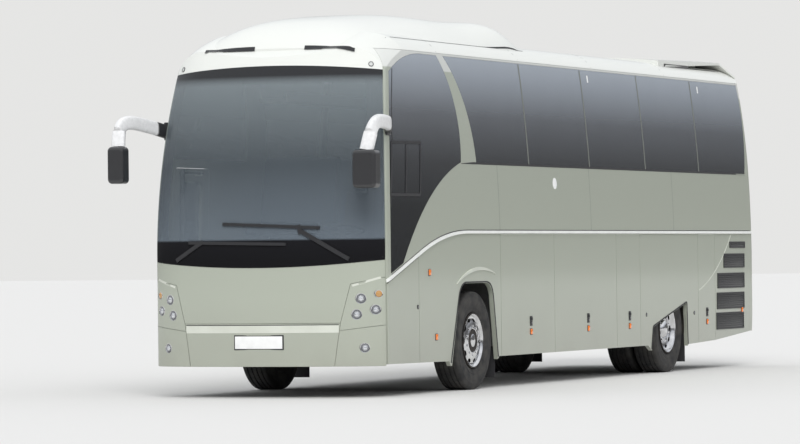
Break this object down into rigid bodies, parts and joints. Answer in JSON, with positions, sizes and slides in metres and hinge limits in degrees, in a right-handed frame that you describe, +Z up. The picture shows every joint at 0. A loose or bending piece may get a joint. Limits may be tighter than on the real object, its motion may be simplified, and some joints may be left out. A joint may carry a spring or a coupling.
{
  "type": "single-deck coach bus",
  "caption": "Long single-deck coach with glazed sides, a roof dome and rear wing, steered front wheels, twin rear wheels, swinging doors and luggage flaps.",
  "frame": {"origin": "on the road, under the middle of the coach with its mirrors", "axes": "+X forward, +Y to the coach's left, +Z up"},
  "size_m": [12.3259, 2.94, 3.9433],
  "materials": {
    "body_paint": "metallic satin",
    "roof_paint": "gloss",
    "ledge_white": "gloss",
    "tinted_glass": "gloss",
    "screen_glass": "gloss",
    "black_plastic": "satin",
    "lamp_glass": "gloss",
    "red_lamp": "gloss",
    "chassis": "satin",
    "sheet": "matte",
    "floor": "matte",
    "iron": "rough",
    "tyre": "matte",
    "wheel": "polished",
    "flap_rubber": "matte",
    "seat_fabric": "woven",
    "trim_grey": "matte",
    "arm_white": "gloss"
  },
  "bodies": {
    "coach_body": {"side_wall_left": "body_paint", "side_wall_right": "body_paint", "side_glass_left": "tinted_glass", "side_glass_right": "tinted_glass", "ledges": "ledge_white", "bumper": "body_paint", "corner_panels": "body_paint", "headlamps": "lamp_glass", "front_panel": "body_paint", "brow_frame": "roof_paint", "screen_frame": "black_plastic", "windscreen": "screen_glass", "rear_wall": "body_paint", "rear_window": "tinted_glass", "rear_lamps": "red_lamp", "roof": "roof_paint", "dome": "roof_paint", "wing": "roof_paint", "cabin_floor": "floor", "luggage_hold": "sheet", "wheel_arches": "sheet", "mud_flaps": "flap_rubber", "underframe": "chassis", "front_beam": "iron", "rear_axle": "iron", "engine": "iron", "seats": "seat_fabric", "driver_seat": "seat_fabric", "dashboard": "trim_grey", "steering_wheel": "black_plastic", "mirror_arms": "arm_white", "mirror_heads": "black_plastic", "wipers": "black_plastic"},
    "knuckle_left": {"knuckle_left": "iron"},
    "knuckle_right": {"knuckle_right": "iron"},
    "wheel_front_left": {"wheel_front_left": "wheel", "tyre_front_left": "tyre"},
    "wheel_front_right": {"wheel_front_right": "wheel", "tyre_front_right": "tyre"},
    "wheels_rear_left": {"wheel_rear_left": "wheel", "tyre_rear_left": "tyre"},
    "wheels_rear_right": {"wheel_rear_right": "wheel", "tyre_rear_right": "tyre"},
    "door_arms_front": {"door_arms_front": "black_plastic"},
    "door_front": {"door_front": "body_paint", "door_glass_front": "tinted_glass"},
    "door_arms_middle": {"door_arms_middle": "black_plastic"},
    "door_middle": {"door_middle": "body_paint", "door_glass_middle": "tinted_glass"},
    "bay_flap_left_1": {"bay_flap_left_1": "body_paint"},
    "bay_flap_left_2": {"bay_flap_left_2": "body_paint"},
    "bay_flap_left_3": {"bay_flap_left_3": "body_paint"},
    "bay_flap_right_1": {"bay_flap_right_1": "body_paint"},
    "bay_flap_right_2": {"bay_flap_right_2": "body_paint"},
    "rear_flap_left": {"rear_flap_left": "body_paint"},
    "rear_flap_right": {"rear_flap_right": "body_paint"},
    "service_flap": {"service_flap": "body_paint"},
    "engine_hatch": {"engine_hatch": "body_paint"}
  },
  "joints": [
    {"name": "steer_left", "type": "hinge", "parent": "coach_body", "child": "knuckle_left", "pos_m": [3.17, 0.985, 0.515], "axis": [0, 0, 1], "range_deg": [-38, 38]},
    {"name": "steer_right", "type": "hinge", "parent": "coach_body", "child": "knuckle_right", "pos_m": [3.17, -0.985, 0.515], "axis": [0, 0, 1], "range_deg": [-38, 38]},
    {"name": "spin_front_left", "type": "hinge", "parent": "knuckle_left", "child": "wheel_front_left", "pos_m": [3.17, 1.1, 0.515], "axis": [0, 1, 0], "continuous": true},
    {"name": "spin_front_right", "type": "hinge", "parent": "knuckle_right", "child": "wheel_front_right", "pos_m": [3.17, -1.1, 0.515], "axis": [0, 1, 0], "continuous": true},
    {"name": "spin_rear_left", "type": "hinge", "parent": "coach_body", "child": "wheels_rear_left", "pos_m": [-3.03, 1, 0.515], "axis": [0, 1, 0], "continuous": true},
    {"name": "spin_rear_right", "type": "hinge", "parent": "coach_body", "child": "wheels_rear_right", "pos_m": [-3.03, -1, 0.515], "axis": [0, 1, 0], "continuous": true},
    {"name": "door_front_swing", "type": "hinge", "parent": "coach_body", "child": "door_arms_front", "pos_m": [5.165, -1.16, 1.2], "axis": [0, 0, 1], "range_deg": [0, 115]},
    {"name": "door_front_leaf", "type": "hinge", "parent": "door_arms_front", "child": "door_front", "pos_m": [4.765, -1.14, 1.2], "axis": [0, 0, 1], "range_deg": [-115, 0]},
    {"name": "door_middle_swing", "type": "hinge", "parent": "coach_body", "child": "door_arms_middle", "pos_m": [-1.785, -1.16, 1.2], "axis": [0, 0, -1], "range_deg": [0, 115]},
    {"name": "door_middle_leaf", "type": "hinge", "parent": "door_arms_middle", "child": "door_middle", "pos_m": [-1.385, -1.14, 1.2], "axis": [0, 0, -1], "range_deg": [-115, 0]},
    {"name": "bay_flap_left_1_hinge", "type": "hinge", "parent": "coach_body", "child": "bay_flap_left_1", "pos_m": [1.6665, 1.267, 1.6267], "axis": [1, 0, 0], "range_deg": [0, 80]},
    {"name": "bay_flap_left_2_hinge", "type": "hinge", "parent": "coach_body", "child": "bay_flap_left_2", "pos_m": [-0.1335, 1.267, 1.6267], "axis": [1, 0, 0], "range_deg": [0, 80]},
    {"name": "bay_flap_left_3_hinge", "type": "hinge", "parent": "coach_body", "child": "bay_flap_left_3", "pos_m": [-1.53, 1.267, 1.6267], "axis": [1, 0, 0], "range_deg": [0, 80]},
    {"name": "bay_flap_right_1_hinge", "type": "hinge", "parent": "coach_body", "child": "bay_flap_right_1", "pos_m": [1.6665, -1.267, 1.6267], "axis": [-1, 0, 0], "range_deg": [0, 80]},
    {"name": "bay_flap_right_2_hinge", "type": "hinge", "parent": "coach_body", "child": "bay_flap_right_2", "pos_m": [-0.0835, -1.267, 1.6267], "axis": [-1, 0, 0], "range_deg": [0, 80]},
    {"name": "rear_flap_left_hinge", "type": "hinge", "parent": "coach_body", "child": "rear_flap_left", "pos_m": [-4.315, 1.267, 1.6267], "axis": [1, 0, 0], "range_deg": [0, 80]},
    {"name": "rear_flap_right_hinge", "type": "hinge", "parent": "coach_body", "child": "rear_flap_right", "pos_m": [-4.315, -1.267, 1.6267], "axis": [-1, 0, 0], "range_deg": [0, 80]},
    {"name": "service_flap_hinge", "type": "hinge", "parent": "coach_body", "child": "service_flap", "pos_m": [5.546, 1.267, 0.74], "axis": [0, 0, -1], "range_deg": [0, 90]},
    {"name": "engine_hatch_hinge", "type": "hinge", "parent": "coach_body", "child": "engine_hatch", "pos_m": [-6.148, 0, 1.3697], "axis": [0, 1, 0], "range_deg": [0, 75]}
  ],
  "couplings": [
    {"joint": "steer_right", "follows": "steer_left", "ratio": 1},
    {"joint": "door_front_leaf", "follows": "door_front_swing", "ratio": -1},
    {"joint": "door_middle_leaf", "follows": "door_middle_swing", "ratio": -1}
  ]
}
